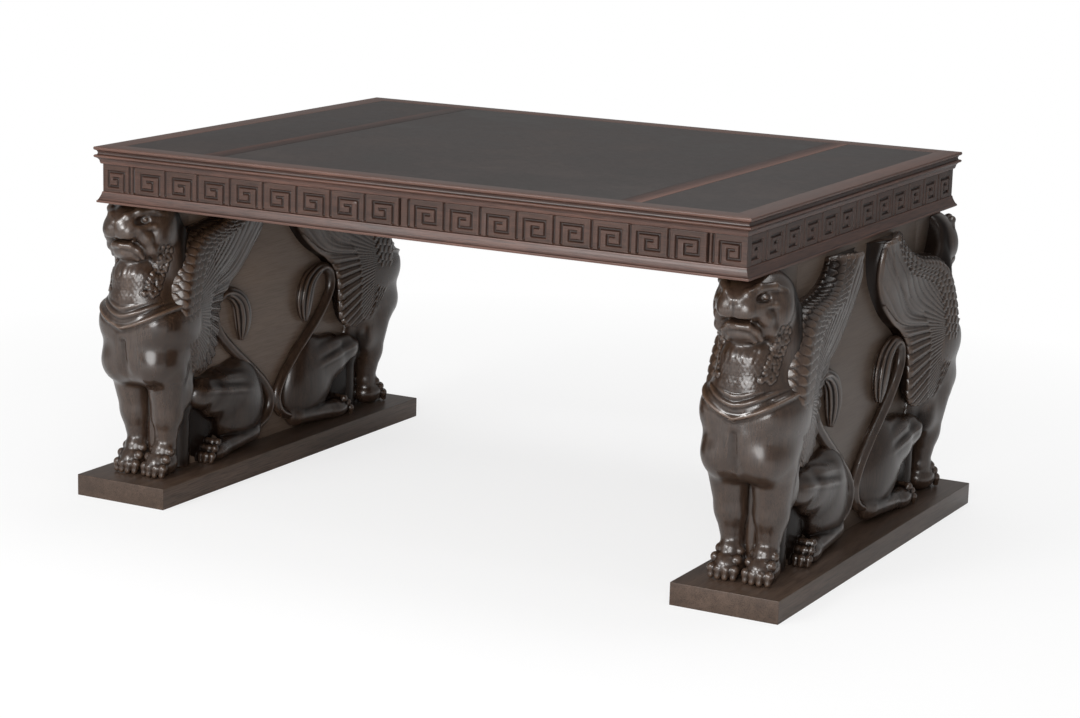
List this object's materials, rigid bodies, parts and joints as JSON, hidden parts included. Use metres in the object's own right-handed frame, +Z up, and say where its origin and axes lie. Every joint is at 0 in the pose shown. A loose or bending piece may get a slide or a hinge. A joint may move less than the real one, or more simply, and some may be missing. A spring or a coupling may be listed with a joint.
{
  "type": "pedestal desk",
  "caption": "Carved library desk: flat top with leather panels and Greek key frieze drawers, on two plinth pedestals of back to back seated griffins.",
  "frame": {"origin": "on the floor under the middle of the desk", "axes": "+X along the top to the sitter's right as seen from the front, -Y to the front with the drawers, +Z up"},
  "size_m": [1.647, 1.12, 0.77],
  "materials": {
    "dark_mahogany": "french polished, dark stained",
    "red_mahogany": "french polished",
    "drawer_lining": "waxed, plain",
    "desk_leather": "aged, low sheen"
  },
  "bodies": {
    "desk": {"bearer_left": "drawer_lining", "bearer_right": "drawer_lining", "centre_guide": "drawer_lining", "centre_runner": "drawer_lining", "cornice_back": "red_mahogany", "cornice_front": "red_mahogany", "cornice_left": "red_mahogany", "cornice_right": "red_mahogany", "frieze_back": "red_mahogany", "frieze_centre": "red_mahogany", "frieze_corner_left": "red_mahogany", "frieze_corner_right": "red_mahogany", "frieze_left": "red_mahogany", "frieze_right": "red_mahogany", "griffin_left_back_body": "dark_mahogany", "griffin_left_back_haunch_far": "dark_mahogany", "griffin_left_back_haunch_near": "dark_mahogany", "griffin_left_back_wing_far": "dark_mahogany", "griffin_left_back_wing_near": "dark_mahogany", "griffin_left_front_body": "dark_mahogany", "griffin_left_front_haunch_far": "dark_mahogany", "griffin_left_front_haunch_near": "dark_mahogany", "griffin_left_front_wing_far": "dark_mahogany", "griffin_left_front_wing_near": "dark_mahogany", "griffin_right_back_body": "dark_mahogany", "griffin_right_back_haunch_far": "dark_mahogany", "griffin_right_back_haunch_near": "dark_mahogany", "griffin_right_back_wing_far": "dark_mahogany", "griffin_right_back_wing_near": "dark_mahogany", "griffin_right_front_body": "dark_mahogany", "griffin_right_front_haunch_far": "dark_mahogany", "griffin_right_front_haunch_near": "dark_mahogany", "griffin_right_front_wing_far": "dark_mahogany", "griffin_right_front_wing_near": "dark_mahogany", "leather_centre": "desk_leather", "leather_left": "desk_leather", "leather_right": "desk_leather", "panel_left": "dark_mahogany", "panel_right": "dark_mahogany", "plinth_left": "dark_mahogany", "plinth_right": "dark_mahogany", "rail_back": "red_mahogany", "rail_front": "red_mahogany", "rail_left": "red_mahogany", "rail_right": "red_mahogany", "top_board": "red_mahogany"},
    "drawer_left": {"drawer_left_back": "drawer_lining", "drawer_left_bottom": "drawer_lining", "drawer_left_front": "red_mahogany", "drawer_left_side_inner": "drawer_lining", "drawer_left_side_outer": "drawer_lining"},
    "drawer_right": {"drawer_right_back": "drawer_lining", "drawer_right_bottom": "drawer_lining", "drawer_right_front": "red_mahogany", "drawer_right_side_inner": "drawer_lining", "drawer_right_side_outer": "drawer_lining"}
  },
  "joints": [
    {"name": "drawer_left_slide", "type": "slide", "parent": "desk", "child": "drawer_left", "axis": [0, -1, 0], "range_m": [0, 0.36]},
    {"name": "drawer_right_slide", "type": "slide", "parent": "desk", "child": "drawer_right", "axis": [0, -1, 0], "range_m": [0, 0.36]}
  ]
}
